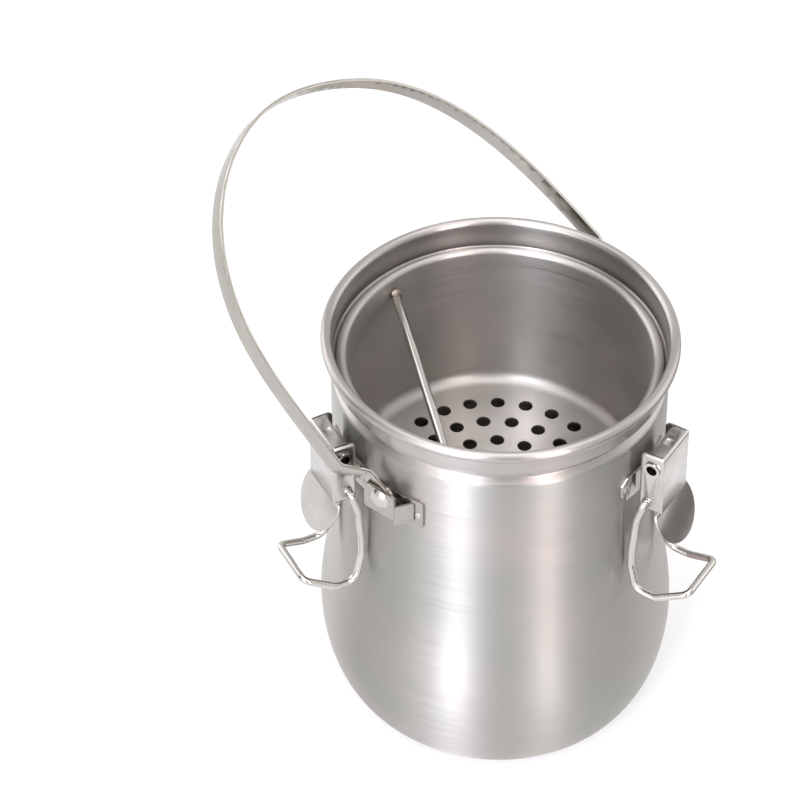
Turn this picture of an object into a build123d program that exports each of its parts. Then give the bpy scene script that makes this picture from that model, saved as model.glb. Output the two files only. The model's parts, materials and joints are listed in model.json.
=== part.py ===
from build123d import *
import os
from math import acos, cos, hypot, radians, sin, sqrt, tan

# Brush washer: a spun steel pot with a rolled lip, a lift-out strainer cup that
# hangs on a bead inside the neck, a strap bail, three toggle clamps and a lid.
# Millimetres. +Z is up, the pot stands on Z = 0 with its axis on Z, and its
# front faces -Y. Azimuths are degrees from the front, growing towards +X.

# ---- pot ----
POT_SHEET = 0.8            # wall thickness of the spun pot
POT_HEIGHT = 158.4         # table to the top of the rolled lip
MOUTH_RADIUS = 56.2        # inside the collar
LIP_ROLL = 1.9             # outside radius of the rolled lip
LIP_ROLL_TURN = 280        # degrees that the lip is rolled through
NECK_RADIUS = 55.9         # inside the neck, below the bead
BELLY_RADIUS = 60.85       # inside the widest part
BELLY_HEIGHT = 36.5
SHOULDER_RADIUS = 57.5     # inside, where belly and neck meet
SHOULDER_HEIGHT = 67.5
WAIST_RADIUS = 56.3
WAIST_DROP = 66.4          # waist below the rim
NECK_DROP = 46.4           # below the rim, where the wall has become straight
BASE_RADIUS = 44.9         # flat the pot stands on
BEAD_RADIUS = 53.5         # inside crest of the rolled-in bead
BEAD_DROP = 16.8           # below the rim, where the bead leaves the neck
BEAD_RISE = 1.8            # height of the bead's lower slope
BEAD_CREST = 2.0           # height of its upright crest
SEAT_RISE = 2.2            # height of the sloping seat above the crest
BEAD_BEND = 0.9            # bend radius along the bead

# ---- strainer ----
CUP_SHEET = 0.7
CUP_RADIUS = 51.25         # inside the cup
CUP_DEPTH = 58.0           # floor to the middle of the rolled ring
CUP_CORNER = 5.0
RING_ROLL = 1.75           # outside radius of the cup's rolled ring
RING_ROLL_TURN = 270
SEAT_CLEARANCE = 0.05      # ring to the seat of the bead
HOLE_RADIUS = 2.5
HOLE_PITCH = 9.5           # between rings of holes
HOLE_RINGS = 4
HOLES_PER_RING = 6         # the first ring's count, and what each ring adds
BAR_RADIUS = 1.55          # crossbar that brushes are wiped on
BAR_OFFSET = 26.4          # middle of the crossbar from the pot's axis
BAR_AZIMUTH = -76.0
BAR_DROP = 5.9             # crossbar below the middle of the ring

# ---- bail and its lugs ----
BAIL_AZIMUTH = -37.5       # front end of the hinge line
BAIL_DROP = 30.1           # hinge line below the rim
BAIL_LEAN = 52.0           # as photographed, from upright to the back left
STRAP_WIDTH = 6.5
STRAP_SHEET = 1.2
EYE_STAND = 5.3            # strap face above the pot wall, at the eye
EYE_END = 3.9              # strap beyond the hinge line
EYE_HOLE_CLEARANCE = 0.05
JOGGLE_START = 8.8         # from the hinge line, where the strap steps outwards
JOGGLE_END_FRONT = 16.5
JOGGLE_END_REAR = 19.0
JOGGLE_BEND = 3.5
LEG_FRONT = 69.2           # middle of each leg from the pot's axis
LEG_REAR = 74.3
LEG_TOP_FRONT = 20.0       # end of each straight leg, from the hinge line
LEG_TOP_REAR = 24.0
ARCH_THROUGH = (           # places on the hand-bent arch: reach, height
    (69.1, 42.0),
    (65.4, 72.5),
    (50.0, 102.0),
    (24.8, 120.6),
    (4.3, 125.3),
    (-21.5, 120.1),
    (-45.9, 104.8),
    (-62.3, 80.4),
    (-71.3, 48.0),
)
LUG_SHEET = 1.2
LUG_GAP = 0.3              # strap to the lug's raised plate
LUG_WIDTH = 12.5           # raised plate
LUG_ABOVE = 3.8            # raised plate above the hinge line
LUG_BELOW = 8.8            # underside of the clip's bend, below the hinge line
LUG_WING = 12.9            # end of the welded wing, to one side of the hinge line
LUG_WING_TOP = 0.4         # wing above the hinge line
LUG_WING_LOW = 11.3        # wing below the hinge line
LUG_SIDE_TOP = 0.8         # side wall's top below the hinge line, clear of the strap
LUG_SIDE_FOOT = 9.6        # where the side wall meets the wing
LUG_BEND_SPARE = 0.02      # straight left between the clip's two bends
LUG_CORNER = 1.6
RIVET_SHANK = 1.6
RIVET_HEAD = 3.9           # radius of the domed head
RIVET_DOME = 1.6           # height of the dome
RIVET_TAIL = 2.9           # radius of the flat inner head
RIVET_TAIL_SHEET = 0.8

# ---- toggle clamps ----
CLAMP_AZIMUTHS = {"left": -60.0, "right": 60.0, "rear": 180.0}
LEVER_SHEET = 0.8
LEVER_STAND = 10.8         # outer face above the pot's neck
LEVER_WIDTH = 17.9
LEVER_DEPTH = 8.6          # flanges, outer face to free edge
LEVER_DROP = 17.7          # lever's top below the rim
LEVER_LENGTH = 24.7
LEVER_BEND = 1.0
LEVER_HEEL = 2.2           # round of the flange corner that turns past the wall
TONGUE_LENGTH = 5.6        # bent-in top, from the outer face
TONGUE_SLIT = 0.4          # tongue to each flange
DIMPLE_SIDE = 3.2
DIMPLE_DEPTH = 0.3
PIVOT_INSET = 4.1          # pivot behind the outer face
PIVOT_DROP = 6.0           # pivot below the lever's top
PIN_RADIUS = 2.3           # tubular pivot pin
PIN_BORE = 1.9
PIN_FLARE = 2.85           # flared ends
PIN_FLARE_SHEET = 0.45
PIN_CLEARANCE = 0.05
PIN_END_GAP = 0.1          # flared end to flange
THUMB_RADIUS = 11.3        # round thumb plate
THUMB_SHEET = 0.9
THUMB_REACH = 4.4          # its centre below the lever's lower edge
THUMB_TILT = 25.0          # outwards
THUMB_BEND = 2.5
THUMB_DROP = 0.9           # middle of its bend below the lever's lower edge
THUMB_LEAF = 6.5           # welded leaf inside the lever, above its lower edge
THUMB_LEAF_WIDTH = 12.0
WIRE_RADIUS = 1.25
WIRE_CLEARANCE = 0.05      # wire in its holes
WIRE_SIDE_GAP = 0.3        # wire arms to the flanges
WIRE_HOLE_INSET = 5.9      # holes behind the outer face
WIRE_HOLE_RISE = 2.6       # holes above the lever's lower edge
WIRE_TAIL = 1.0            # wire inside the flanges
SHIN_IN = 2.2              # arm steps in towards the pot below the hole
SHIN_DROP = 7.6
KNEE_IN = 3.3              # nearest the pot
KNEE_DROP = 21.6
KNEE_LENGTH = 7.0
KNEE_SPREAD = 0.3          # how far the arms have spread by the knee
TOE_DROP = 38.3            # lower corners below the holes
TOE_IN = 0.2               # first lower corner in from the holes
TOE_OUT = 7.4              # second one out from them
TOE_SPREAD = 1.6
BAR_RISE = 5.4             # hook bar above the lower corners
BAR_OUT = 18.0             # hook bar outwards from the holes
BAR_NARROW = 1.0           # arms drawn in at the hook bar
ARM_BENDS = (1.4, 7.0, 12.0, 8.0, 4.5, 5.0, 2.8)
BASE_SHEET = 0.9           # bracket welded to the pot
BASE_WIDTH = 29.0
BASE_DROP = 28.8           # bracket's top below the rim
BASE_HEIGHT = 10.1
BASE_CHAMFER = 2.6
EAR_SHEET = 0.8
EAR_SIDE_GAP = 0.4         # ears to the lever's flanges
EAR_RADIUS = 3.0
EAR_FOOT = 1.4             # lower root of an ear above the bracket's lower edge
EAR_HEAD = 2.6             # upper root of an ear below the bracket's upper edge

# ---- lid, taken off and laid down behind the pot ----
LID_SHEET = 0.8
LID_RADIUS = 59.3          # outside the rolled edge
LID_ROLL = 1.4
LID_ROLL_TURN = 250
LID_WELL_RADIUS = 51.3     # floor of the sunk middle
LID_WELL_DEPTH = 5.4
LID_WELL_SLOPE = 1.7
LID_PANEL_RADIUS = 22.0    # raised middle of the floor
LID_PANEL_RISE = 2.4
LID_PANEL_SLOPE = 4.0
LID_BEND = 1.2
GASKET_INNER = 54.4
GASKET_OUTER = 56.3
GASKET_HEIGHT = 1.8
GASKET_ROUND = 0.5
LID_BEHIND = 138.0         # centre of the lid behind the pot's axis

# ---- places worked out from the sizes above ----
neck_outside = NECK_RADIUS + POT_SHEET
lip_height = POT_HEIGHT - LIP_ROLL
waist_height = POT_HEIGHT - WAIST_DROP
neck_height = POT_HEIGHT - NECK_DROP
bead_low = POT_HEIGHT - BEAD_DROP
bead_crest_low = bead_low + BEAD_RISE
seat_low = bead_crest_low + BEAD_CREST
seat_high = seat_low + SEAT_RISE
ring_radius = CUP_RADIUS + RING_ROLL


def ring_rest_height():
    """Height at which the rolled ring lies on the sloping seat of the bead."""
    run = MOUTH_RADIUS - BEAD_RADIUS
    slope = hypot(run, SEAT_RISE)
    middle_gap = RING_ROLL + SEAT_CLEARANCE + POT_SHEET / 2
    overlap = ring_radius - BEAD_RADIUS - POT_SHEET / 2
    return seat_low + (middle_gap * slope + overlap * SEAT_RISE) / run


ring_height = ring_rest_height()
bail_height = POT_HEIGHT - BAIL_DROP
eye_face = neck_outside + EYE_STAND
eye_middle = eye_face - STRAP_SHEET / 2
lug_inner = eye_face + LUG_GAP
lug_outer = lug_inner + LUG_SHEET
lever_face = neck_outside + LEVER_STAND
lever_top = POT_HEIGHT - LEVER_DROP
lever_low = lever_top - LEVER_LENGTH
pivot_x = lever_face - PIVOT_INSET
pivot_z = lever_top - PIVOT_DROP
wire_x = lever_face - WIRE_HOLE_INSET
wire_z = lever_low + WIRE_HOLE_RISE
base_top = POT_HEIGHT - BASE_DROP
arm_y = LEVER_WIDTH / 2 + WIRE_SIDE_GAP + WIRE_RADIUS


def turned(azimuth):
    """Turns a piece drawn with +X outwards to an azimuth of the pot."""
    return Rot(0, 0, azimuth - 90)


def spun_sheet(middle_line, thickness):
    """A spun sheet with this middle line, drawn as radius and height."""
    return revolve(Plane.XZ * trace(middle_line, thickness), Axis.Z)


def bent_sheet(middle_line, thickness, width):
    """A strip bent along a middle line drawn as reach and height."""
    return extrude(Plane.XZ * trace(middle_line, thickness), width / 2, both=True)


def rounded_route(points, bends):
    """Straight runs through the points with a tangent arc at each inner corner."""
    points = [Vector(*p) for p in points]
    pieces, start = [], points[0]
    for before, corner, after, bend in zip(points, points[1:], points[2:], bends):
        inward = (before - corner).normalized()
        onward = (after - corner).normalized()
        half_angle = acos(max(-1.0, min(1.0, inward.dot(onward)))) / 2
        tangent = bend / tan(half_angle)
        middle = (inward + onward).normalized()
        crest = corner + middle * (bend / sin(half_angle) - bend)
        arc_start, arc_end = corner + inward * tangent, corner + onward * tangent
        pieces += [Line(start, arc_start), ThreePointArc(arc_start, crest, arc_end)]
        start = arc_end
    return Wire(pieces + [Line(start, points[-1])])


def round_wire(route, radius):
    """A round wire along a route."""
    section = Plane(origin=route @ 0, z_dir=route % 0) * Circle(radius)
    return sweep(section, path=route)


def pot_core():
    """Everything inside the outer face of the pot's straight neck."""
    return Cylinder(neck_outside, 4 * POT_HEIGHT)


def neck_band(thickness):
    """A sheet of this thickness wrapped round the pot's straight neck."""
    return Cylinder(neck_outside + thickness, 4 * POT_HEIGHT) - pot_core()


# ---- pot ----
def make_pot():
    """One spun sheet, from the middle of the floor to the end of the rolled lip."""
    half = POT_SHEET / 2
    floor = Line((0, half), (BASE_RADIUS, half))
    heel = EllipticalCenterArc(
        (BASE_RADIUS, BELLY_HEIGHT),
        BELLY_RADIUS + half - BASE_RADIUS,
        BELLY_HEIGHT - half,
        start_angle=270,
        arc_size=90,
    )
    wall = Spline(
        (BELLY_RADIUS + half, BELLY_HEIGHT),
        (SHOULDER_RADIUS + half, SHOULDER_HEIGHT),
        (WAIST_RADIUS + half, waist_height),
        (NECK_RADIUS + half, neck_height),
        tangents=[(0, 1), (0, 1)],
    )
    bead = FilletPolyline(
        (NECK_RADIUS + half, neck_height),
        (NECK_RADIUS + half, bead_low),
        (BEAD_RADIUS + half, bead_crest_low),
        (BEAD_RADIUS + half, seat_low),
        (MOUTH_RADIUS + half, seat_high),
        (MOUTH_RADIUS + half, lip_height),
        radius=BEAD_BEND,
    )
    lip_centre = (MOUTH_RADIUS + LIP_ROLL, lip_height)
    lip = CenterArc(lip_centre, LIP_ROLL - half, 180, -LIP_ROLL_TURN)
    return spun_sheet(Wire([floor, heel, wall, *bead.edges(), lip]), POT_SHEET)


# ---- strainer ----
def cup_blank():
    """The cup without holes, from the middle of its floor to the end of its ring."""
    half = CUP_SHEET / 2
    floor = ring_height - CUP_DEPTH - half
    wall = FilletPolyline(
        (0, floor),
        (CUP_RADIUS + half, floor),
        (CUP_RADIUS + half, ring_height),
        radius=CUP_CORNER,
    )
    ring = CenterArc((ring_radius, ring_height), RING_ROLL - half, 180, -RING_ROLL_TURN)
    return spun_sheet(Wire([*wall.edges(), ring]), CUP_SHEET)


def strainer_holes():
    """Rings of holes through the floor of the cup, round one in the middle."""
    spots = [(0, 0)]
    for ring in range(1, HOLE_RINGS + 1):
        count = HOLES_PER_RING * ring
        for step in range(count):
            angle = radians(360 * step / count)
            spots.append((HOLE_PITCH * ring * cos(angle), HOLE_PITCH * ring * sin(angle)))
    floor = ring_height - CUP_DEPTH
    punches = Sketch() + [Pos(x, y) * Circle(HOLE_RADIUS) for x, y in spots]
    return extrude(Pos(0, 0, floor - 2 * CUP_SHEET) * punches, 3 * CUP_SHEET)


def make_strainer_cup():
    return cup_blank() - strainer_holes()


def make_strainer_crossbar():
    """A rod across the cup, cut to the cup's wall at both ends."""
    height = ring_height - BAR_DROP
    rod = Plane(origin=(BAR_OFFSET, -CUP_RADIUS, height), z_dir=(0, 1, 0)) * Circle(BAR_RADIUS)
    inside = Pos(0, 0, height) * Cylinder(CUP_RADIUS, 4 * BAR_RADIUS)
    return turned(BAR_AZIMUTH) * (extrude(rod, 2 * CUP_RADIUS) & inside)


# ---- bail ----
def leaned(shape):
    """Takes the bail from upright over the hinge line to how it leans."""
    return turned(BAIL_AZIMUTH) * Pos(0, 0, bail_height) * Rot(BAIL_LEAN, 0, 0) * shape


def bail_end(side, leg_top, leg_line, joggle_end):
    """Middle line of one end: eye, joggle outwards and the start of the straight leg."""
    leg_foot = leg_top + leg_line * ((joggle_end - leg_top.Y) / leg_line.Y)
    return FilletPolyline(
        (side * eye_middle, -EYE_END),
        (side * eye_middle, JOGGLE_START),
        leg_foot,
        leg_top,
        radius=JOGGLE_BEND,
    )


def bail_line():
    """Middle line of the whole strap, from eye to eye. The legs carry on the arch's line."""
    arch = Spline((LEG_FRONT, LEG_TOP_FRONT), *ARCH_THROUGH, (-LEG_REAR, LEG_TOP_REAR))
    front = bail_end(1, arch @ 0, arch % 0, JOGGLE_END_FRONT)
    rear = bail_end(-1, arch @ 1, arch % 1, JOGGLE_END_REAR)
    return Wire([*front.edges(), *arch.edges(), *rear.edges()])


def make_bail_strap():
    strap = bent_sheet(bail_line(), STRAP_SHEET, STRAP_WIDTH)
    hinge_bore = Rot(0, 90, 0) * Cylinder(RIVET_SHANK + EYE_HOLE_CLEARANCE, 3 * LEG_REAR)
    eye_round = Rot(0, 90, 0) * Cylinder(EYE_END, 3 * LEG_REAR)
    below = Pos(0, 0, -EYE_END) * Box(3 * LEG_REAR, 2 * STRAP_WIDTH, 2 * EYE_END)
    return leaned(strap - (below - eye_round) - hinge_bore)


def make_bail_lug():
    """A clip bent up from a welded wing: raised plate in front of the eye, one side wall."""
    leaf_x = neck_outside + LUG_SHEET / 2
    plate_x = lug_inner + LUG_SHEET / 2
    bend_z = LUG_SHEET / 2 - LUG_BELOW
    profile = FilletPolyline(
        (leaf_x, LUG_WING_TOP),
        (leaf_x, bend_z),
        (plate_x, bend_z),
        (plate_x, LUG_ABOVE),
        radius=(plate_x - leaf_x - LUG_BEND_SPARE) / 2,
    )
    clip = bent_sheet(profile, LUG_SHEET, LUG_WIDTH)
    clip = fillet(clip.edges().filter_by(Axis.X).group_by(Axis.Z)[-1], LUG_CORNER)
    wing_height = LUG_WING_TOP + LUG_WING_LOW
    wing_length = LUG_WING + LUG_WIDTH / 2
    plan = Pos((LUG_WING - LUG_WIDTH / 2) / 2, (LUG_WING_TOP - LUG_WING_LOW) / 2) * Rectangle(
        wing_length, wing_height
    )
    plan = fillet(plan.vertices().group_by(Axis.X)[-1], LUG_CORNER)
    blank = extrude(Plane.YZ * plan, neck_outside + 2 * LUG_SHEET)
    wing = blank & neck_band(LUG_SHEET)
    side_plan = Line((plate_x, LUG_WIDTH / 2 - LUG_SHEET / 2), (leaf_x, LUG_SIDE_FOOT))
    side_wall = Pos(0, 0, -LUG_BELOW) * extrude(
        trace(side_plan, LUG_SHEET), LUG_BELOW - LUG_SIDE_TOP
    )
    bore = Rot(0, 90, 0) * Cylinder(RIVET_SHANK, 4 * lug_outer)
    return Pos(0, 0, bail_height) * (clip + wing + side_wall - bore - pot_core())


def make_bail_rivet():
    """Shank through the eye and the raised plate, flat inner head, domed outer head."""
    tail_outer = eye_face - STRAP_SHEET - LUG_GAP
    tail_inner = tail_outer - RIVET_TAIL_SHEET
    outline = Polyline(
        (lug_outer + RIVET_DOME, 0),
        (tail_inner, 0),
        (tail_inner, RIVET_TAIL),
        (tail_outer, RIVET_TAIL),
        (tail_outer, RIVET_SHANK),
        (lug_outer, RIVET_SHANK),
        (lug_outer, RIVET_HEAD),
    )
    dome_radius = (RIVET_HEAD**2 + RIVET_DOME**2) / (2 * RIVET_DOME)
    dome = RadiusArc((lug_outer, RIVET_HEAD), (lug_outer + RIVET_DOME, 0), dome_radius)
    return Pos(0, 0, bail_height) * revolve(make_face([*outline.edges(), dome]), Axis.X)


# ---- toggle clamp, drawn with +X outwards ----
def make_clamp_base():
    """A curved bracket welded to the neck, with two ears for the pivot pin."""
    plan = Pos(0, base_top - BASE_HEIGHT / 2) * Rectangle(BASE_WIDTH, BASE_HEIGHT)
    plan = chamfer(plan.vertices(), BASE_CHAMFER)
    plate = extrude(Plane.YZ * plan, neck_outside + 2 * BASE_SHEET) & neck_band(BASE_SHEET)
    root = neck_outside - POT_SHEET
    foot = Line((root, base_top - EAR_HEAD), (root, base_top - BASE_HEIGHT + EAR_FOOT))
    tip = Pos(pivot_x, pivot_z) * Circle(EAR_RADIUS)
    ear = extrude(Plane.XZ * make_hull([*tip.edges(), foot]), EAR_SHEET / 2, both=True)
    ear_y = LEVER_WIDTH / 2 - LEVER_SHEET - EAR_SIDE_GAP - EAR_SHEET / 2
    ears = Pos(0, ear_y, 0) * ear + Pos(0, -ear_y, 0) * ear - pot_core()
    bore = Pos(pivot_x, 0, pivot_z) * Rot(90, 0, 0) * Cylinder(PIN_RADIUS, LEVER_WIDTH)
    return plate + ears - bore


def make_clamp_pin():
    """A tubular pin with both ends flared outside the lever's flanges."""
    inner_face = LEVER_WIDTH / 2 + PIN_END_GAP
    length = 2 * (inner_face + PIN_FLARE_SHEET)
    flare = Cylinder(PIN_FLARE, PIN_FLARE_SHEET)
    flare_z = inner_face + PIN_FLARE_SHEET / 2
    tube = Cylinder(PIN_RADIUS, length) + Pos(0, 0, flare_z) * flare + Pos(0, 0, -flare_z) * flare
    return Pos(pivot_x, 0, pivot_z) * Rot(90, 0, 0) * (tube - Cylinder(PIN_BORE, length))


def make_clamp_thumb():
    """Round plate tilted outwards below the lever, on a leaf welded inside it."""
    leaf_x = lever_face - LEVER_SHEET - THUMB_SHEET / 2
    tilt = radians(THUMB_TILT)
    end = THUMB_REACH + THUMB_RADIUS
    profile = FilletPolyline(
        (leaf_x, lever_low + THUMB_LEAF),
        (leaf_x, lever_low - THUMB_DROP),
        (leaf_x + end * tan(tilt), lever_low - THUMB_DROP - end),
        radius=THUMB_BEND,
    )
    blank = bent_sheet(profile, THUMB_SHEET, 3 * THUMB_RADIUS)
    disc = Pos(0, lever_low - THUMB_REACH) * Ellipse(THUMB_RADIUS, THUMB_RADIUS * cos(tilt))
    leaf = Pos(0, lever_low) * Rectangle(THUMB_LEAF_WIDTH, 3 * THUMB_LEAF)
    above = Pos(0, lever_low + POT_HEIGHT) * Rectangle(3 * THUMB_RADIUS, 2 * POT_HEIGHT)
    plan = (disc - above) + leaf
    return blank & extrude(Plane.YZ * plan, 2 * lever_face)


def make_clamp_lever():
    """A channel with its open side to the pot and a tongue bent in at its top."""
    side = Pos(lever_face - LEVER_DEPTH / 2, lever_low + LEVER_LENGTH / 2) * Rectangle(
        LEVER_DEPTH, LEVER_LENGTH
    )
    corners = side.vertices()
    heel = corners.group_by(Axis.X)[0].sort_by(Axis.Y)[-1]
    foot = corners.group_by(Axis.X)[0].sort_by(Axis.Y)[0]
    brow = corners.group_by(Axis.X)[-1].sort_by(Axis.Y)[-1]
    side = fillet(heel, LEVER_HEEL)
    side = fillet(side.vertices().sort_by_distance((foot.X, foot.Y, 0))[0], LEVER_BEND)
    side = fillet(side.vertices().sort_by_distance((brow.X, brow.Y, 0))[0], LEVER_BEND)
    block = extrude(Plane.XZ * side, LEVER_WIDTH / 2, both=True)
    face_edges = block.edges().filter_by(Axis.Z).group_by(Axis.X)[-1]
    block = fillet(face_edges, LEVER_BEND)
    inner_width = LEVER_WIDTH - 2 * LEVER_SHEET
    hollow = Pos(lever_face - LEVER_SHEET - LEVER_DEPTH, 0, lever_low - LEVER_SHEET) * Box(
        LEVER_DEPTH, inner_width, LEVER_LENGTH, align=(Align.MIN, Align.CENTER, Align.MIN)
    )
    slit_x = lever_face - LEVER_BEND
    slit = Box(
        LEVER_DEPTH, TONGUE_SLIT, 3 * LEVER_SHEET, align=(Align.MAX, Align.CENTER, Align.CENTER)
    )
    slit_y = inner_width / 2 - TONGUE_SLIT / 2
    behind = Pos(lever_face - TONGUE_LENGTH, 0, lever_top) * Box(
        LEVER_DEPTH, inner_width, 3 * LEVER_SHEET, align=(Align.MAX, Align.CENTER, Align.CENTER)
    )
    dimple = Pos(lever_face - TONGUE_LENGTH / 2, 0, lever_top) * Box(
        DIMPLE_SIDE, DIMPLE_SIDE, 2 * DIMPLE_DEPTH
    )
    lever = block - hollow - behind - dimple
    lever -= Pos(slit_x, slit_y, lever_top) * slit + Pos(slit_x, -slit_y, lever_top) * slit
    pin_hole = Rot(90, 0, 0) * Cylinder(PIN_RADIUS + PIN_CLEARANCE, 2 * LEVER_WIDTH)
    wire_hole = Rot(90, 0, 0) * Cylinder(WIRE_RADIUS + WIRE_CLEARANCE, 2 * LEVER_WIDTH)
    return lever - Pos(pivot_x, 0, pivot_z) * pin_hole - Pos(wire_x, 0, wire_z) * wire_hole


def make_clamp_loop():
    """Wire loop: turned-in ends, arms that bow towards the pot, and a hook bar."""
    toe_z = wire_z - TOE_DROP
    half = [
        (wire_x, LEVER_WIDTH / 2 - LEVER_SHEET - WIRE_TAIL, wire_z),
        (wire_x, arm_y, wire_z),
        (wire_x - SHIN_IN, arm_y, wire_z - SHIN_DROP),
        (wire_x - KNEE_IN, arm_y + KNEE_SPREAD, wire_z - KNEE_DROP),
        (wire_x - KNEE_IN, arm_y + KNEE_SPREAD, wire_z - KNEE_DROP - KNEE_LENGTH),
        (wire_x - TOE_IN, arm_y + TOE_SPREAD, toe_z),
        (wire_x + TOE_OUT, arm_y + TOE_SPREAD, toe_z),
        (wire_x + BAR_OUT, arm_y - BAR_NARROW, toe_z + BAR_RISE),
    ]
    mirrored = [(x, -y, z) for x, y, z in reversed(half)]
    bends = [*ARM_BENDS, *reversed(ARM_BENDS)]
    return round_wire(rounded_route(half + mirrored, bends), WIRE_RADIUS)


# ---- lid ----
def make_lid_pan():
    """Sunk pan with a raised panel, a flat flange and a rolled-down edge."""
    floor = LID_SHEET / 2
    flange = floor + LID_WELL_DEPTH
    edge = LID_RADIUS - LID_ROLL
    top = FilletPolyline(
        (0, floor + LID_PANEL_RISE),
        (LID_PANEL_RADIUS, floor + LID_PANEL_RISE),
        (LID_PANEL_RADIUS + LID_PANEL_SLOPE, floor),
        (LID_WELL_RADIUS, floor),
        (LID_WELL_RADIUS + LID_WELL_SLOPE, flange),
        (edge, flange),
        radius=LID_BEND,
    )
    roll_radius = LID_ROLL - LID_SHEET / 2
    roll = CenterArc((edge, flange - roll_radius), roll_radius, 90, -LID_ROLL_TURN)
    return Pos(0, LID_BEHIND, 0) * spun_sheet(Wire([*top.edges(), roll]), LID_SHEET)


def make_lid_gasket():
    """Flat rubber ring under the lid's flange."""
    ring = Cylinder(GASKET_OUTER, GASKET_HEIGHT) - Cylinder(GASKET_INNER, GASKET_HEIGHT)
    ring = fillet(ring.edges().filter_by(GeomType.CIRCLE).group_by(Axis.Z)[0], GASKET_ROUND)
    return Pos(0, LID_BEHIND, LID_WELL_DEPTH - GASKET_HEIGHT / 2) * ring


def all_pieces():
    """Every piece by name, in place."""
    pieces = {
        "pot": make_pot(),
        "strainer_cup": make_strainer_cup(),
        "strainer_crossbar": make_strainer_crossbar(),
        "bail_strap": make_bail_strap(),
        "lid_pan": make_lid_pan(),
        "lid_gasket": make_lid_gasket(),
    }
    lug = make_bail_lug()
    rivet = make_bail_rivet()
    for end, azimuth in (("front", BAIL_AZIMUTH), ("rear", BAIL_AZIMUTH + 180)):
        pieces[f"bail_lug_{end}"] = turned(azimuth) * lug
        pieces[f"bail_rivet_{end}"] = turned(azimuth) * rivet
    clamp = {
        "clamp_base": make_clamp_base(),
        "clamp_pin": make_clamp_pin(),
        "clamp_lever": make_clamp_lever(),
        "clamp_thumb": make_clamp_thumb(),
        "clamp_loop": make_clamp_loop(),
    }
    for place, azimuth in CLAMP_AZIMUTHS.items():
        for name, piece in clamp.items():
            pieces[f"{name}_{place}"] = turned(azimuth) * piece
    return pieces


os.makedirs("parts", exist_ok=True)
for node, piece in all_pieces().items():
    export_step(piece, f"parts/{node}.step")
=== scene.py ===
# %% [markdown]
# This lesson dresses a steel brush washer: a spun pot with a rolled lip, a
# lift-out strainer cup, a flat carrying strap, three toggle clamps and a lid.
# The measured parts come first, and they never move. Each new piece is laid
# over one of them, and each finish is built from nodes.

# %% Load the measured parts
import json
from math import cos, pi, radians, sin

import bpy
from mathutils import Matrix, Vector

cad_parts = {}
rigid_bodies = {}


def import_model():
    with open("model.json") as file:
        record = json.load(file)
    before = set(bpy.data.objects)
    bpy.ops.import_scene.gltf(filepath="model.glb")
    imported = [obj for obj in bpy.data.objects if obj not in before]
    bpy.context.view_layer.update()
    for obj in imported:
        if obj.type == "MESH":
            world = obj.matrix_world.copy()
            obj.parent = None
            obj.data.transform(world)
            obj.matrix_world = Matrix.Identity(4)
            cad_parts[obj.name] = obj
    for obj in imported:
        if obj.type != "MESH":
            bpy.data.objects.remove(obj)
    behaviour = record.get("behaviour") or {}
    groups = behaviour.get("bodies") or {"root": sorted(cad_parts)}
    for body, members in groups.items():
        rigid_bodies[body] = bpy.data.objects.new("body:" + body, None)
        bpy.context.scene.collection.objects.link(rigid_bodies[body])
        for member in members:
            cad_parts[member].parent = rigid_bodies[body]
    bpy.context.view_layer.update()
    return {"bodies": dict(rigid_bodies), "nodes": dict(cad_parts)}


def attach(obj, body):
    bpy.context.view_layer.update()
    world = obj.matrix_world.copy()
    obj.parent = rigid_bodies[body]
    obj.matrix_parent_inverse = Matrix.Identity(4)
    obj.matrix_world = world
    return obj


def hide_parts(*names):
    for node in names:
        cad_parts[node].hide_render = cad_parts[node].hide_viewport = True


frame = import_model()
MM = 0.001
print("parts loaded:", len(frame["nodes"]))

# %% [markdown]
# The camera looks down over the front of the rim. Its place, its turn and its
# lens were worked out from the ellipses of the rim and of the strainer's ring.
# The middle of the lens isn't the middle of the picture, so the shift moves
# the frame and keeps the perspective as it is.

# %% Camera
PICTURE = 800                      # pixels along each side of the picture
FOCAL = 3300                       # focal length in pixels
LENS_MIDDLE = (150, 50)            # pixel the lens points at
SENSOR = 36
camera_data = bpy.data.cameras.new("camera")
camera = bpy.data.objects.new("camera", camera_data)
bpy.context.scene.collection.objects.link(camera)
camera_data.sensor_width = SENSOR
camera_data.lens = FOCAL / PICTURE * SENSOR
camera_data.shift_x = (PICTURE / 2 - LENS_MIDDLE[0]) / PICTURE
camera_data.shift_y = (LENS_MIDDLE[1] - PICTURE / 2) / PICTURE
camera_data.clip_end = 20
right = Vector((0.994406, 0.094220, -0.047757))
up = Vector((-0.019436, 0.607584, 0.794015))
camera.matrix_world = Matrix.Translation((-0.0036, -0.8239, 0.9070)) @ Matrix(
    (right, up, right.cross(up))
).transposed().to_4x4()
bpy.context.scene.camera = camera
print("lens", round(camera_data.lens, 1), "shift", camera_data.shift_x, camera_data.shift_y)

# %% [markdown]
# Colours are written as they are picked on a screen. Blender's nodes want
# linear light, so one function turns the written colour into that. A second
# one adds a node, gives its sockets constants and joins the others.

# %% Colour and node helpers
def colour(text):
    """Linear red, green, blue and alpha of an sRGB hex colour."""
    parts = [int(text[i : i + 2], 16) / 255 for i in (1, 3, 5)]
    return [c / 12.92 if c <= 0.04045 else ((c + 0.055) / 1.055) ** 2.4 for c in parts] + [1]


def add_node(tree, kind, sockets=None, **settings):
    """Adds a node. A socket gets a constant, or a link from another node's output."""
    made = tree.nodes.new(kind)
    for name, value in settings.items():
        setattr(made, name, value)
    for name, value in (sockets or {}).items():
        if isinstance(value, bpy.types.NodeSocket):
            tree.links.new(value, made.inputs[name])
        else:
            made.inputs[name].default_value = value
    return made


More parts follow.
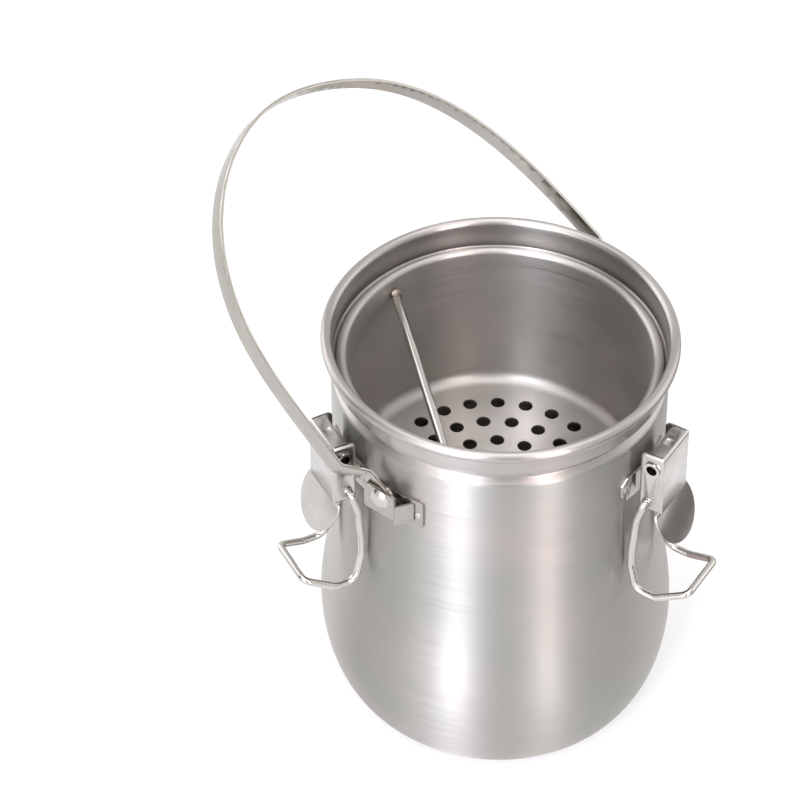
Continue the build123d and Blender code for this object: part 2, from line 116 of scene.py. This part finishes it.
def new_material(name):
    """An empty material, its node tree and its output node."""
    material = bpy.data.materials.new(name)
    material.use_nodes = True
    tree = material.node_tree
    tree.nodes.clear()
    return material, tree, add_node(tree, "ShaderNodeOutputMaterial")


# %% [markdown]
# The pot is stainless steel sheet, spun and then brushed on the lathe. The
# belt leaves hair-thin lines that run round it, so a lamp's reflection spreads
# up and down into a bright band. The lines are noise squeezed flat in Z. They
# are drawn a little coarser than real ones, which would be too fine to show.
# Steel is never one grey: a broad, faint cloud tints it warm and cold. The
# collar and the cup were brushed with a finer belt and are glossier. The lid
# was faced flat, so its lines are circles round its own middle.

# %% Brushed steel
LINE_PITCH = 0.45 * MM             # between brush lines, drawn coarse enough to see
LINE_LENGTH = 60 * MM
CLOUD = 45 * MM


def brushed_steel(name, tints, roughness, spread, centre=None, relief=0.012):
    """Brushed sheet. Its lines run level round Z, or in circles round a centre."""
    material, tree, output = new_material(name)
    place = add_node(tree, "ShaderNodeTexCoord").outputs["Object"]
    if centre is None:
        squeezed = add_node(
            tree,
            "ShaderNodeMapping",
            {"Vector": place, "Scale": (1 / LINE_LENGTH, 1 / LINE_LENGTH, 1 / LINE_PITCH)},
        )
        lines = add_node(
            tree,
            "ShaderNodeTexNoise",
            {"Vector": squeezed.outputs["Vector"], "Scale": 1.0, "Detail": 3.0, "Roughness": 0.6},
        )
    else:
        centred = add_node(
            tree,
            "ShaderNodeMapping",
            {"Vector": place, "Location": (-centre[0], -centre[1], -centre[2])},
        )
        reach = add_node(
            tree,
            "ShaderNodeVectorMath",
            {0: centred.outputs["Vector"]},
            operation="LENGTH",
        )
        lines = add_node(
            tree,
            "ShaderNodeTexNoise",
            {"W": reach.outputs["Value"], "Scale": 1 / LINE_PITCH, "Detail": 3.0, "Roughness": 0.6},
            noise_dimensions="1D",
        )
    cloud = add_node(
        tree,
        "ShaderNodeTexNoise",
        {"Vector": place, "Scale": 1 / CLOUD, "Detail": 2.0},
    )
    patches = add_node(
        tree,
        "ShaderNodeMapRange",
        {"Value": cloud.outputs["Fac"], "From Min": 0.38, "From Max": 0.62},
    )
    tint = add_node(
        tree,
        "ShaderNodeMix",
        {"Factor": patches.outputs["Result"], "A": colour(tints[0]), "B": colour(tints[1])},
        data_type="RGBA",
    )
    shade = add_node(
        tree,
        "ShaderNodeMapRange",
        {
            "Value": lines.outputs["Fac"],
            "From Min": 0.3,
            "From Max": 0.7,
            "To Min": 0.94,
            "To Max": 1.055,
        },
    )
    lined = add_node(
        tree,
        "ShaderNodeVectorMath",
        {0: tint.outputs["Result"], 1: shade.outputs["Result"]},
        operation="MULTIPLY",
    )
    gloss = add_node(
        tree,
        "ShaderNodeMapRange",
        {
            "Value": lines.outputs["Fac"],
            "From Min": 0.3,
            "From Max": 0.7,
            "To Min": roughness * 0.85,
            "To Max": roughness * 1.2,
        },
    )
    relief_node = add_node(
        tree,
        "ShaderNodeBump",
        {"Height": lines.outputs["Fac"], "Strength": 0.3, "Distance": relief * MM},
    )
    steel = add_node(
        tree,
        "ShaderNodeBsdfPrincipled",
        {
            "Base Color": lined.outputs["Vector"],
            "Metallic": 1.0,
            "Roughness": gloss.outputs["Result"],
            "Normal": relief_node.outputs["Normal"],
            "Anisotropic": spread,
            "Anisotropic Rotation": 0.25,
        },
    )
    if spread and centre is None:
        round_z = add_node(tree, "ShaderNodeTangent", direction_type="RADIAL", axis="Z")
        tree.links.new(round_z.outputs["Tangent"], steel.inputs["Tangent"])
    tree.links.new(steel.outputs["BSDF"], output.inputs["Surface"])
    return material


LID_BEHIND = 138.0 * MM            # middle of the lid behind the pot's axis
body_steel = brushed_steel(
    "brushed_stainless_body", ("#aaa4a1", "#a2a19d"), 0.43, 0.9, relief=0.004
)
lip_steel = brushed_steel(
    "satin_stainless_collar", ("#b4aeaa", "#a8a3a0"), 0.33, 0.75, relief=0.002
)
cup_steel = brushed_steel(
    "satin_stainless_cup", ("#b9b4b0", "#aaa6a2"), 0.40, 0.7, relief=0.003
)
lid_steel = brushed_steel(
    "brushed_stainless_lid", ("#b4aea8", "#aba7a3"), 0.27, 0.0, (0, LID_BEHIND, 0)
)
print("brushed steel ready")

# %% [markdown]
# The strap, the levers, the brackets and the wires are the same steel, but
# tumbled or polished. Polished sheet still has a faint orange peel and small
# rub marks, so its gloss comes from a soft noise and its face from a very low
# relief.

# %% Polished steel
PEEL = 3.0 * MM                    # size of the waves in polished sheet
RUB = 9.0 * MM                     # size of the rub marks


def polished_steel(name, tints, roughness, peel=0.01):
    """Polished or tumbled sheet and wire. Peel is the relief of its waves in mm."""
    material, tree, output = new_material(name)
    place = add_node(tree, "ShaderNodeTexCoord").outputs["Object"]
    rubs = add_node(
        tree,
        "ShaderNodeTexNoise",
        {"Vector": place, "Scale": 1 / RUB, "Detail": 4.0, "Roughness": 0.65},
    )
    waves = add_node(
        tree, "ShaderNodeTexNoise", {"Vector": place, "Scale": 1 / PEEL, "Detail": 2.0}
    )
    tint = add_node(
        tree,
        "ShaderNodeMix",
        {"Factor": rubs.outputs["Fac"], "A": colour(tints[0]), "B": colour(tints[1])},
        data_type="RGBA",
    )
    gloss = add_node(
        tree,
        "ShaderNodeMapRange",
        {
            "Value": rubs.outputs["Fac"],
            "From Min": 0.3,
            "From Max": 0.7,
            "To Min": roughness * 0.7,
            "To Max": roughness * 1.35,
        },
    )
    relief = add_node(
        tree,
        "ShaderNodeBump",
        {"Height": waves.outputs["Fac"], "Strength": 0.3, "Distance": peel * MM},
    )
    steel = add_node(
        tree,
        "ShaderNodeBsdfPrincipled",
        {
            "Base Color": tint.outputs["Result"],
            "Metallic": 1.0,
            "Roughness": gloss.outputs["Result"],
            "Normal": relief.outputs["Normal"],
        },
    )
    tree.links.new(steel.outputs["BSDF"], output.inputs["Surface"])
    return material


wire_steel = polished_steel("polished_stainless_wire", ("#c9c6c1", "#b5b1ac"), 0.13)
strap_steel = polished_steel("polished_stainless_strap", ("#b3afa8", "#a19d97"), 0.20)
latch_steel = polished_steel("tumbled_stainless_latch", ("#c4c1bd", "#b1aeaa"), 0.22)
bracket_steel = polished_steel(
    "pressed_stainless_bracket", ("#aeaaa5", "#9c9893"), 0.27, peel=0.004
)
rivet_steel = polished_steel("polished_stainless_rivet", ("#c6c2bd", "#b2aea9"), 0.17)
print("polished steel ready")

# %% [markdown]
# The ring under the lid is black nitrile rubber. Rubber has no metal in it
# and a dull, slightly dusty face, so it gets a high roughness and a fine grain.

# %% Rubber
GRAIN = 0.6 * MM
rubber, tree, output = new_material("black_nitrile_rubber")
place = add_node(tree, "ShaderNodeTexCoord").outputs["Object"]
grain = add_node(
    tree, "ShaderNodeTexNoise", {"Vector": place, "Scale": 1 / GRAIN, "Detail": 3.0}
)
dust = add_node(
    tree,
    "ShaderNodeMix",
    {"Factor": grain.outputs["Fac"], "A": colour("#1c1b1b"), "B": colour("#2b2a29")},
    data_type="RGBA",
)
relief = add_node(
    tree,
    "ShaderNodeBump",
    {"Height": grain.outputs["Fac"], "Strength": 0.4, "Distance": 0.03 * MM},
)
skin = add_node(
    tree,
    "ShaderNodeBsdfPrincipled",
    {
        "Base Color": dust.outputs["Result"],
        "Roughness": 0.62,
        "Normal": relief.outputs["Normal"],
    },
)
tree.links.new(skin.outputs["BSDF"], output.inputs["Surface"])
print("rubber ready")

# %% [markdown]
# A spun sheet is a line turned round an axis, and then given a thickness. The
# line is built from arcs and a smooth wall, turned with Spin in edit mode,
# closed at its seam, and thickened with Solidify. Shading it smooth matters on
# metal, which shows every flat facet.

# %% Lathe helper
TURNS = 192                        # steps round a spun sheet
SAME_POINT = 0.004 * MM            # points closer than this are joined


def arc(middle, across, high, start, turn, steps):
    """Points on an ellipse's arc, as radius and height in mm."""
    return [
        (
            middle[0] + across * cos(radians(start + turn * i / steps)),
            middle[1] + high * sin(radians(start + turn * i / steps)),
        )
        for i in range(steps + 1)
    ]


def rounded(corners, bends, steps=6):
    """A line through corners, each inner one rounded with its bend radius."""
    line = [corners[0]]
    for before, corner, after, bend in zip(corners, corners[1:], corners[2:], bends):
        here = Vector(corner)
        inward = (Vector(before) - here).normalized()
        onward = (Vector(after) - here).normalized()
        half = inward.angle(onward) / 2
        centre = here + (inward + onward).normalized() * bend / sin(half)
        first = here + inward * bend * cos(half) / sin(half) - centre
        last = here + onward * bend * cos(half) / sin(half) - centre
        for i in range(steps + 1):
            spoke = first.lerp(last, i / steps).normalized() * bend
            line.append(tuple(centre + spoke))
    return line + [corners[-1]]


def spin_sheet(name, line, thickness, centre=(0, 0)):
    """Spins a line of radius and height round Z and gives it a sheet's thickness."""
    bpy.ops.object.select_all(action="DESELECT")
    bpy.ops.curve.primitive_bezier_curve_add()
    drawn = bpy.context.object
    drawn.data.splines.clear()
    spline = drawn.data.splines.new("POLY")
    spline.points.add(len(line) - 1)
    for point, (reach, height) in zip(spline.points, line):
        point.co = (centre[0] + reach * MM, centre[1], height * MM, 1)
    bpy.ops.object.convert(target="MESH")
    bpy.ops.object.mode_set(mode="EDIT")
    bpy.ops.mesh.select_all(action="SELECT")
    bpy.ops.mesh.spin(steps=TURNS, angle=2 * pi, center=(*centre, 0), axis=(0, 0, 1))
    bpy.ops.mesh.select_all(action="SELECT")
    bpy.ops.mesh.remove_doubles(threshold=SAME_POINT)
    bpy.ops.mesh.normals_make_consistent(inside=False)
    bpy.ops.object.mode_set(mode="OBJECT")
    made = bpy.context.object
    made.name = name
    wall = made.modifiers.new("sheet", "SOLIDIFY")
    wall.thickness = thickness * MM
    wall.offset = 0
    bpy.ops.object.modifier_apply(modifier=wall.name)
    bpy.ops.object.shade_smooth_by_angle(angle=radians(40))
    print(name, "faces", len(made.data.polygons))
    return made


# %% [markdown]
# The pot: a flat base, an elliptical heel up to the belly, a wall that draws
# in towards a straight neck, a bead rolled inwards that carries the strainer,
# a collar, and a lip rolled outwards over itself.

# %% Pot
# Radii are those of the sheet's inner face, and heights are above the table.
SHEET = 0.8
HALF = SHEET / 2                   # from a face of the sheet to its middle line
BASE = 44.9                        # flat that the pot stands on
BELLY, BELLY_HIGH = 60.85, 36.5
SHOULDER, SHOULDER_HIGH, SHOULDER_LEAN = 57.5, 67.5, -0.085
WAIST, WAIST_HIGH, WAIST_LEAN = 56.3, 92.0, -0.030
NECK, NECK_HIGH = 55.9, 112.0      # where the wall has become straight
BEAD = 53.5                        # crest of the rolled-in bead
BEAD_LOW, CREST_LOW, CREST_TOP, SEAT_TOP = 141.6, 143.4, 145.4, 147.6
BEAD_BEND = 0.9
MOUTH, TOP = 56.2, 158.4           # inside the collar, top of the lip
LIP = 1.9                          # outside radius of the rolled lip
LIP_TURN = 280                     # degrees that it is rolled through
POLISHED_FROM = 142.5 * MM         # the collar's finish starts on the bead
floor_line = [(reach, HALF) for reach in (0.02, 6, 14, 22, 30, 38)]
heel = arc((BASE, BELLY_HIGH), BELLY + HALF - BASE, BELLY_HIGH - HALF, 270, 90, 28)


def smooth_wall(stations, steps):
    """A smooth line through (radius, height, slope) stations."""
    line = []
    for (r0, z0, s0), (r1, z1, s1) in zip(stations, stations[1:]):
        for i in range(1, steps + 1):
            t = i / steps
            rise = z1 - z0
            line.append(
                (
                    r0 * (2 * t**3 - 3 * t**2 + 1)
                    + s0 * rise * (t**3 - 2 * t**2 + t)
                    + r1 * (3 * t**2 - 2 * t**3)
                    + s1 * rise * (t**3 - t**2),
                    z0 + rise * t,
                )
            )
    return line


wall = smooth_wall(
    [
        (BELLY + HALF, BELLY_HIGH, 0),
        (SHOULDER + HALF, SHOULDER_HIGH, SHOULDER_LEAN),
        (WAIST + HALF, WAIST_HIGH, WAIST_LEAN),
        (NECK + HALF, NECK_HIGH, 0),
    ],
    10,
)
bead = rounded(
    [
        (NECK + HALF, 126),
        (NECK + HALF, BEAD_LOW),
        (BEAD + HALF, CREST_LOW),
        (BEAD + HALF, CREST_TOP),
        (MOUTH + HALF, SEAT_TOP),
        (MOUTH + HALF, 152.0),
    ],
    [BEAD_BEND] * 4,
)
lip = arc((MOUTH + LIP, TOP - LIP), LIP - HALF, LIP - HALF, 180, -LIP_TURN, 28)
pot = spin_sheet("pot_skin", floor_line + heel + wall + bead + lip, SHEET)
pot.data.materials.append(body_steel)
pot.data.materials.append(lip_steel)
for face in pot.data.polygons:
    face.material_index = 1 if face.center.z > POLISHED_FROM else 0
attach(pot, "vessel")
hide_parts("pot")

# %% [markdown]
# Sheet that was pressed or cut has edges that catch the light, because the
# tumbler rounds them a little. The measured solids have sharp edges. A copy of
# each is merged into one skin, its flat faces are joined, and a small bevel
# goes on every sharp edge.

# %% Eased copies of the pressed parts
FACET_JOIN = 0.002 * MM            # corners of the measured facets closer than this are one
FLAT = radians(0.5)                # faces that turn less than this are joined
SHARP = radians(32)                # edges that turn more than this are rounded


def eased(node, material, width):
    """A copy of a measured part with its sharp edges rounded by a width in mm."""
    source = frame["nodes"][node]
    body = source.parent
    copy = source.copy()
    copy.data = source.data.copy()
    copy.name = node + "_eased"
    copy.parent = None
    copy.matrix_world = Matrix.Identity(4)
    bpy.context.scene.collection.objects.link(copy)
    bpy.ops.object.select_all(action="DESELECT")
    copy.select_set(True)
    bpy.context.view_layer.objects.active = copy
    bpy.ops.object.mode_set(mode="EDIT")
    bpy.ops.mesh.select_all(action="SELECT")
    bpy.ops.mesh.remove_doubles(threshold=FACET_JOIN)
    bpy.ops.mesh.customdata_custom_splitnormals_clear()
    bpy.ops.mesh.dissolve_limited(angle_limit=FLAT)
    bpy.ops.object.mode_set(mode="OBJECT")
    edge = copy.modifiers.new("edge", "BEVEL")
    edge.width = width * MM
    edge.segments = 2
    edge.limit_method = "ANGLE"
    edge.angle_limit = SHARP
    edge.harden_normals = False
    bpy.ops.object.modifier_apply(modifier=edge.name)
    bpy.ops.object.shade_smooth_by_angle(angle=radians(35))
    copy.data.materials.clear()
    copy.data.materials.append(material)
    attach(copy, next(n for n, b in frame["bodies"].items() if b is body))
    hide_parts(node)
    return copy


PLACES = ("left", "right", "rear")
for place_name in PLACES:
    eased(f"clamp_lever_{place_name}", latch_steel, 0.1)
    eased(f"clamp_thumb_{place_name}", latch_steel, 0.16)
    eased(f"clamp_base_{place_name}", bracket_steel, 0.14)
for end in ("front", "rear"):
    eased(f"bail_lug_{end}", bracket_steel, 0.2)
eased("bail_strap", strap_steel, 0.25)
print("eased parts:", 3 * len(PLACES) + 3)

# %% [markdown]
# Each lever holds a loop of bright round wire. The measured loop is a chain of
# short straight pieces, and its bends would glitter in facets. This one is a
# curve through the same corners, each rounded with its own bend radius, and
# given a round section. One half is written down, from the end of the wire in
# the lever to the foot of the loop, and the other half is its mirror image.

# %% Wire loops
WIRE = 1.25                        # radius of the wire
HOLE_OUT, HOLE_HIGH = 61.6, 118.6  # where the wire enters the lever's flanges
TAIL, ARM = 7.15, 10.5             # ends inside the flanges, arms outside them
LOOP_HALF = [                      # outwards from the axis, sideways, height
    (HOLE_OUT, TAIL, HOLE_HIGH),
    (HOLE_OUT, ARM, HOLE_HIGH),
    (HOLE_OUT - 2.2, ARM, HOLE_HIGH - 7.6),
    (HOLE_OUT - 3.3, ARM + 0.3, HOLE_HIGH - 21.6),
    (HOLE_OUT - 3.3, ARM + 0.3, HOLE_HIGH - 28.6),
    (HOLE_OUT - 0.2, ARM + 1.6, HOLE_HIGH - 38.3),
    (HOLE_OUT + 7.4, ARM + 1.6, HOLE_HIGH - 38.3),
    (HOLE_OUT + 18.0, ARM - 1.0, HOLE_HIGH - 32.9),
]
LOOP_BENDS = [1.4, 7.0, 12.0, 8.0, 4.5, 5.0, 2.8]
AZIMUTHS = {"left": -60, "right": 60, "rear": 180}


def turned(point, azimuth):
    """Takes a point drawn outwards along X, in mm, to an azimuth of the pot, in metres."""
    turn = Matrix.Rotation(radians(azimuth - 90), 4, "Z")
    return turn @ Vector(point) * MM


def bent_wire(name, route, radius):
    """Round wire along a route of points in metres, closed at both ends."""
    bpy.ops.object.select_all(action="DESELECT")
    bpy.ops.curve.primitive_bezier_curve_add()
    drawn = bpy.context.object
    drawn.data.splines.clear()
    spline = drawn.data.splines.new("POLY")
    spline.points.add(len(route) - 1)
    for point, place in zip(spline.points, route):
        point.co = (*place, 1)
    drawn.data.dimensions = "3D"
    drawn.data.bevel_depth = radius * MM
    drawn.data.bevel_resolution = 5
    drawn.data.use_fill_caps = True
    bpy.ops.object.convert(target="MESH")
    bpy.ops.object.shade_smooth_by_angle(angle=radians(40))
    made = bpy.context.object
    made.name = name
    return made


for place_name, azimuth in AZIMUTHS.items():
    other_half = [(x, -y, z) for x, y, z in reversed(LOOP_HALF)]
    bends = LOOP_BENDS + LOOP_BENDS[::-1]
    line = rounded(LOOP_HALF + other_half, bends, steps=10)
    loop = bent_wire(f"loop_{place_name}", [turned(point, azimuth) for point in line], WIRE)
    loop.data.materials.append(wire_steel)
    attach(loop, f"loop_{place_name}")
    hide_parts(f"clamp_loop_{place_name}")
print("wire loops:", len(AZIMUTHS))

# %% [markdown]
# Nothing on the pot is bolted. The brackets and clips were spot welded, and
# each weld leaves a small round button in the sheet. The crossbar is welded
# in by hand: each end sits in a lump of weld metal that the heat turned brown.

# %% Welds
SPOT = 1.25                        # radius of a spot weld's button
BRACKET_FACE = NECK + SHEET + 0.9  # outer face of the clamp brackets
BRACKET_SPOT, BRACKET_SPOT_HIGH = 12.4, 124.6   # degrees aside of the lever, height
CLIP_FACE = NECK + SHEET + 1.2     # outer face of the strap's clips
CLIP_AZIMUTHS = {"front": -37.5, "rear": 142.5}
CLIP_SPOT, CLIP_SPOT_HIGH = 10.9, 122.3         # degrees aside of the rivet, height
BAR_AZIMUTH, BAR_OUT, BAR_HIGH = -76, 26.4, 141.6
BAR_RADIUS = 1.55
CUP_INSIDE = 51.25


def lump(name, place, azimuth, size, finish, body, roughness=0.0):
    """A flattened button or a rough bead of weld, its thin side outwards.

    Size gives its half measures outwards, sideways and in height, in mm.
    """
    bpy.ops.object.select_all(action="DESELECT")
    bpy.ops.mesh.primitive_ico_sphere_add(subdivisions=4, radius=1)
    made = bpy.context.object
    made.name = name
    shape = Matrix.Rotation(radians(azimuth - 90), 4, "Z") @ Matrix.Diagonal((*size, 1))
    made.data.transform(Matrix.Translation(place) @ shape @ Matrix.Scale(MM, 4))
    if roughness:
        texture = bpy.data.textures.new(name, "CLOUDS")
        texture.noise_scale = 0.9 * MM
        lumpy = made.modifiers.new("lumpy", "DISPLACE")
        lumpy.texture = texture
        lumpy.strength = roughness * MM
        lumpy.texture_coords = "GLOBAL"
        bpy.ops.object.modifier_apply(modifier=lumpy.name)
    bpy.ops.object.shade_smooth()
    made.data.materials.append(finish)
    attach(made, body)
    return made


for place_name, azimuth in AZIMUTHS.items():
    for side in (-1, 1):
        aside = azimuth + side * BRACKET_SPOT
        lump(
            f"spot_{place_name}_{side}",
            turned((BRACKET_FACE, 0, BRACKET_SPOT_HIGH), aside),
            aside,
            (0.22, SPOT, SPOT),
            rivet_steel,
            "vessel",
        )
for end, azimuth in CLIP_AZIMUTHS.items():
    aside = azimuth + CLIP_SPOT
    lump(
        f"spot_clip_{end}",
        turned((CLIP_FACE, 0, CLIP_SPOT_HIGH), aside),
        aside,
        (0.25, SPOT, SPOT),
        rivet_steel,
        "vessel",
    )
weld_steel = polished_steel("heat_tinted_weld", ("#a3968a", "#5d5046"), 0.38, peel=0.06)
half_bar = (CUP_INSIDE**2 - BAR_OUT**2) ** 0.5
for number, side in enumerate((-1, 1)):
    lump(
        f"bar_weld_{number}",
        turned((BAR_OUT, side * (half_bar - 1.3), BAR_HIGH + 0.7), BAR_AZIMUTH),
        BAR_AZIMUTH,
        (2.1, 1.3, 2.1),
        weld_steel,
        "strainer",
        roughness=0.9,
    )
bar_ends = [
    turned((BAR_OUT, side * (half_bar - 0.4), BAR_HIGH), BAR_AZIMUTH) for side in (-1, 1)
]
crossbar = bent_wire("crossbar_rod", bar_ends, BAR_RADIUS)
crossbar.data.materials.append(wire_steel)
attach(crossbar, "strainer")
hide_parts("strainer_crossbar")
print("welds ready")

# %% [markdown]
# The other measured parts are round already, and only need their finish.

# %% Finishes on the measured parts
finishes = {
    "strainer_cup": cup_steel,
    "lid_pan": lid_steel,
    "lid_gasket": rubber,
    "bail_rivet_front": rivet_steel,
    "bail_rivet_rear": rivet_steel,
}
for place_name in PLACES:
    finishes[f"clamp_pin_{place_name}"] = rivet_steel
for node, material in finishes.items():
    part = frame["nodes"][node]
    part.data.materials.clear()
    part.data.materials.append(material)
print("finished parts:", len(finishes))

# %% [markdown]
# The pot stands on a plain white sweep. A little of the floor's white is its
# own, so that it stays white in the picture, and the rest is lit, so that the
# shadow shows. The world is white to the camera and in reflections, and less
# bright where it only fills the shadows.

# %% Floor and world
FLOOR_OWN = 0.45                   # share of the floor's white that is its own
ROOM_FILL = 0.55                   # strength of the room in the shadows
bpy.ops.object.select_all(action="DESELECT")
bpy.ops.mesh.primitive_plane_add(size=6, location=(0, 0, -0.0002))
floor = bpy.context.object
floor.name = "floor"
white, tree, output = new_material("white_sweep")
lit = add_node(tree, "ShaderNodeBsdfDiffuse", {"Color": colour("#f4f4f4")})
own = add_node(tree, "ShaderNodeEmission", {"Color": colour("#ffffff"), "Strength": 1.0})
blend = add_node(
    tree,
    "ShaderNodeMixShader",
    {0: FLOOR_OWN, 1: lit.outputs["BSDF"], 2: own.outputs["Emission"]},
)
tree.links.new(blend.outputs["Shader"], output.inputs["Surface"])
floor.data.materials.append(white)

world = bpy.data.worlds.new("white_room")
bpy.context.scene.world = world
world.use_nodes = True
tree = world.node_tree
tree.nodes.clear()
rays = add_node(tree, "ShaderNodeLightPath")
seen = add_node(
    tree,
    "ShaderNodeMath",
    {0: rays.outputs["Is Camera Ray"], 1: rays.outputs["Is Glossy Ray"]},
    operation="MAXIMUM",
)
seen = add_node(
    tree,
    "ShaderNodeMath",
    {0: seen.outputs["Value"], 1: rays.outputs["Is Transmission Ray"]},
    operation="MAXIMUM",
)
strength = add_node(
    tree,
    "ShaderNodeMapRange",
    {"Value": seen.outputs["Value"], "To Min": ROOM_FILL, "To Max": 1.0},
)
sky = add_node(
    tree,
    "ShaderNodeBackground",
    {"Color": colour("#ffffff"), "Strength": strength.outputs["Result"]},
)
add_node(tree, "ShaderNodeOutputWorld", {"Surface": sky.outputs["Background"]})
bpy.context.scene.view_settings.view_transform = "Standard"
print("floor and world ready")

# %% [markdown]
# Two tall soft lamps stand left and right of the camera, and give the two
# bright bands down the pot: a cool one and a fainter, rosy one. A weak lamp
# beside the first softens its band, two broad ones light the sides, and one
# overhead fills the rest. Grey cards that only the metal sees put the grey
# between the bands and at the edges.

# %% Lamps and cards
AIM = Vector((0, 0, 0.09))         # the lamps point at the middle of the pot


def around(azimuth, distance, height):
    """A place at an azimuth from the front, in metres."""
    return Vector((distance * sin(radians(azimuth)), -distance * cos(radians(azimuth)), height))


def lamp(name, azimuth, distance, height, size, power, tone="#ffffff"):
    """A soft lamp at an azimuth from the front, aimed at the pot. Metres and watts."""
    data = bpy.data.lights.new(name, "AREA")
    data.shape = "RECTANGLE"
    data.size, data.size_y = size
    data.energy = power
    data.color = colour(tone)[:3]
    made = bpy.data.objects.new(name, data)
    bpy.context.scene.collection.objects.link(made)
    place = around(azimuth, distance, height)
    turn = (AIM - place).to_track_quat("-Z", "Y").to_matrix().to_4x4()
    made.matrix_world = Matrix.Translation(place) @ turn


lamp("left_strip", -22, 1.5, 0.75, (0.40, 1.5), 30, "#eef3ff")
lamp("left_shoulder", -42, 1.5, 0.75, (0.35, 1.5), 3.2)
lamp("right_strip", 31, 1.5, 0.75, (0.28, 1.5), 14, "#fff2f3")
lamp("right_side", 112, 1.6, 0.75, (1.3, 1.5), 4.5)
lamp("left_side", -122, 1.6, 0.75, (1.1, 1.5), 9)
lamp("overhead", 0, 0.02, 1.8, (1.6, 1.6), 14)


def card(name, placing, width, height, tone):
    """A card that only reflections see. Its sides are in metres."""
    bpy.ops.object.select_all(action="DESELECT")
    bpy.ops.mesh.primitive_plane_add(size=1)
    made = bpy.context.object
    made.name = name
    made.matrix_world = placing @ Matrix.Diagonal((width, height, 1, 1))
    paper, tree, output = new_material(name + "_paper")
    shade = add_node(tree, "ShaderNodeEmission", {"Color": colour(tone), "Strength": 1.0})
    tree.links.new(shade.outputs["Emission"], output.inputs["Surface"])
    made.data.materials.append(paper)
    made.visible_camera = False
    made.visible_diffuse = False
    made.visible_shadow = False


def upright_card(name, azimuth, distance, width, height, tone):
    """A card that stands on the table and faces the pot."""
    place = around(azimuth, distance, height / 2)
    turn = (-place).to_track_quat("-Z", "Y").to_matrix().to_4x4()
    card(name, Matrix.Translation(place) @ turn, width, height, tone)


card("card_low_right", Matrix.Translation((0.50, 0.0, 0.006)), 0.6, 0.7, "#8d8885")
upright_card("card_front", 4, 1.9, 0.5, 1.6, "#c0bcb9")
upright_card("card_left", -84, 1.6, 0.55, 1.6, "#8a8683")
print("lamps and cards ready")
